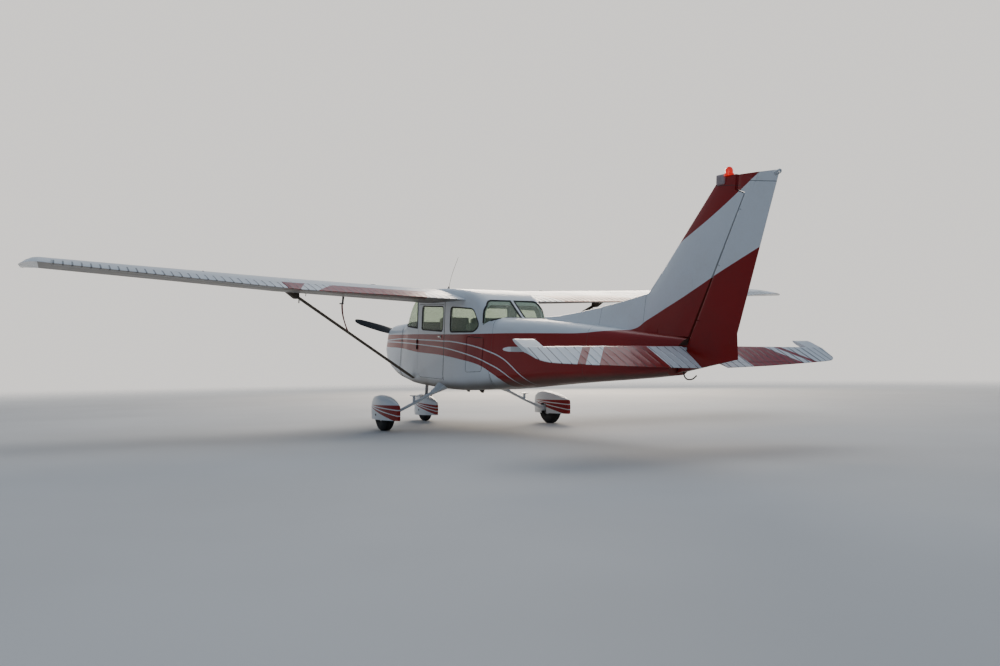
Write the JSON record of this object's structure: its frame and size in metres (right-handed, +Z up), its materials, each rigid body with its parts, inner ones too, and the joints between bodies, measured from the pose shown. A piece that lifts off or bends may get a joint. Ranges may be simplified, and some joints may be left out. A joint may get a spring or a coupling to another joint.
{
  "type": "light aircraft",
  "caption": "Light aircraft with a high strut-braced wing, nose propeller, fixed tricycle gear with faired wheels, a swept fin and a wrap-round rear window.",
  "frame": {"origin": "middle of the base of the bounding box, on the ground below the cabin", "axes": "+X towards the nose, +Y towards the left wing tip, +Z up"},
  "size_m": [8.2654, 10.924, 2.5142],
  "materials": {
    "white_paint": "gloss",
    "red_paint": "gloss",
    "glazing": "polished",
    "tyre": "matte",
    "wheel_hub": "satin",
    "gear_leg": "gloss",
    "gear_steel": "satin",
    "engine": "matte",
    "black_blades": "satin",
    "exhaust_steel": "matte",
    "red_lens": "gloss",
    "seat_fabric": "matte",
    "panel_black": "matte",
    "red_ribbon": "matte"
  },
  "bodies": {
    "airframe": {"cabin": "white_paint", "windshield": "glazing", "side_window_left": "glazing", "rear_window_left": "glazing", "side_window_right": "glazing", "rear_window_right": "glazing", "cowl_upper": "white_paint", "cowl_lower": "white_paint", "engine": "engine", "stabilizer": "white_paint", "tail_cone": "red_paint", "fin": "white_paint", "beacon": "red_lens", "wing_left": "white_paint", "wing_tip_left": "white_paint", "strut_left": "white_paint", "wing_right": "white_paint", "wing_tip_right": "white_paint", "strut_right": "white_paint", "pitot_mast": "gear_steel", "pitot_streamer": "red_ribbon", "main_leg_left": "gear_leg", "wheel_fairing_left": "white_paint", "main_leg_right": "gear_leg", "wheel_fairing_right": "white_paint", "nose_strut": "gear_steel", "exhaust": "exhaust_steel", "seat_front_left": "seat_fabric", "seat_front_right": "seat_fabric", "rear_bench": "seat_fabric", "instrument_panel": "panel_black"},
    "propeller": {"propeller": "black_blades", "spinner": "white_paint"},
    "nose_gear": {"nose_fork": "gear_steel", "nose_fairing": "white_paint"},
    "nose_wheel": {"nose_tyre": "tyre", "nose_hub": "wheel_hub"},
    "main_wheel_left": {"main_tyre_left": "tyre", "main_hub_left": "wheel_hub"},
    "main_wheel_right": {"main_tyre_right": "tyre", "main_hub_right": "wheel_hub"},
    "door_left": {"door_left": "white_paint", "door_window_left": "glazing"},
    "door_right": {"door_right": "white_paint", "door_window_right": "glazing"},
    "baggage_door": {"baggage_door": "red_paint"},
    "flap_left": {"flap_left": "white_paint"},
    "flap_right": {"flap_right": "white_paint"},
    "aileron_left": {"aileron_left": "white_paint"},
    "aileron_right": {"aileron_right": "white_paint"},
    "elevator": {"elevator": "white_paint"},
    "trim_tab": {"trim_tab": "white_paint"},
    "rudder": {"rudder": "white_paint"}
  },
  "joints": [
    {"name": "propeller_spin", "type": "hinge", "parent": "airframe", "child": "propeller", "pos_m": [3.98299, 0, 1.36802], "axis": [0.9983, 0, 0.0576], "continuous": true},
    {"name": "nose_steer", "type": "hinge", "parent": "airframe", "child": "nose_gear", "pos_m": [3.13757, 0, 0.36068], "axis": [-0.2077, 0, 0.9782], "range_deg": [-30, 30]},
    {"name": "nose_wheel_spin", "type": "hinge", "parent": "nose_gear", "child": "nose_wheel", "pos_m": [3.18306, 0, 0.1797], "axis": [0, 1, 0], "continuous": true},
    {"name": "main_wheel_left_spin", "type": "hinge", "parent": "airframe", "child": "main_wheel_left", "pos_m": [1.5269, 1.27, 0.22174], "axis": [0, 1, 0], "continuous": true},
    {"name": "main_wheel_right_spin", "type": "hinge", "parent": "airframe", "child": "main_wheel_right", "pos_m": [1.5269, -1.27, 0.22174], "axis": [0, 1, 0], "continuous": true},
    {"name": "door_left_hinge", "type": "hinge", "parent": "airframe", "child": "door_left", "pos_m": [2.2265, 0.516, 1.22167], "axis": [0.0576, 0, -0.9983], "range_deg": [0, 75]},
    {"name": "door_right_hinge", "type": "hinge", "parent": "airframe", "child": "door_right", "pos_m": [2.2265, -0.516, 1.22167], "axis": [-0.0576, 0, 0.9983], "range_deg": [0, 75]},
    {"name": "baggage_door_hinge", "type": "hinge", "parent": "airframe", "child": "baggage_door", "pos_m": [0.67373, 0.505, 0.98188], "axis": [0.0576, 0, -0.9983], "range_deg": [0, 85]},
    {"name": "flap_left_slide_hinge", "type": "hinge", "parent": "airframe", "child": "flap_left", "pos_m": [1.12899, 0.566, 1.529], "axis": [0.002, -0.9994, -0.0345], "range_deg": [0, 40]},
    {"name": "flap_right_slide_hinge", "type": "hinge", "parent": "airframe", "child": "flap_right", "pos_m": [1.12899, -0.566, 1.529], "axis": [-0.002, -0.9994, 0.0345], "range_deg": [0, 40]},
    {"name": "aileron_left_hinge", "type": "hinge", "parent": "airframe", "child": "aileron_left", "pos_m": [1.00482, 2.739, 1.8449], "axis": [0.0959, 0.9926, 0.0742], "range_deg": [-15, 20]},
    {"name": "aileron_right_hinge", "type": "hinge", "parent": "airframe", "child": "aileron_right", "pos_m": [1.00482, -2.739, 1.8449], "axis": [-0.0959, 0.9926, -0.0742], "range_deg": [-15, 20]},
    {"name": "elevator_hinge", "type": "hinge", "parent": "airframe", "child": "elevator", "pos_m": [-2.98986, 0, 0.95595], "axis": [0, 1, 0], "range_deg": [0, 51]},
    {"name": "trim_tab_hinge", "type": "hinge", "parent": "elevator", "child": "trim_tab", "pos_m": [-3.26175, -0.585, 0.82451], "axis": [0, 1, 0], "range_deg": [-13, 28]},
    {"name": "rudder_hinge", "type": "hinge", "parent": "airframe", "child": "rudder", "pos_m": [-2.89531, 0, 0.75806], "axis": [-0.5138, 0, 0.8579], "range_deg": [-16, 16]}
  ],
  "couplings": [
    {"joint": "flap_right_slide_hinge", "follows": "flap_left_slide_hinge", "ratio": 1},
    {"joint": "aileron_right_hinge", "follows": "aileron_left_hinge", "ratio": -0.75}
  ]
}
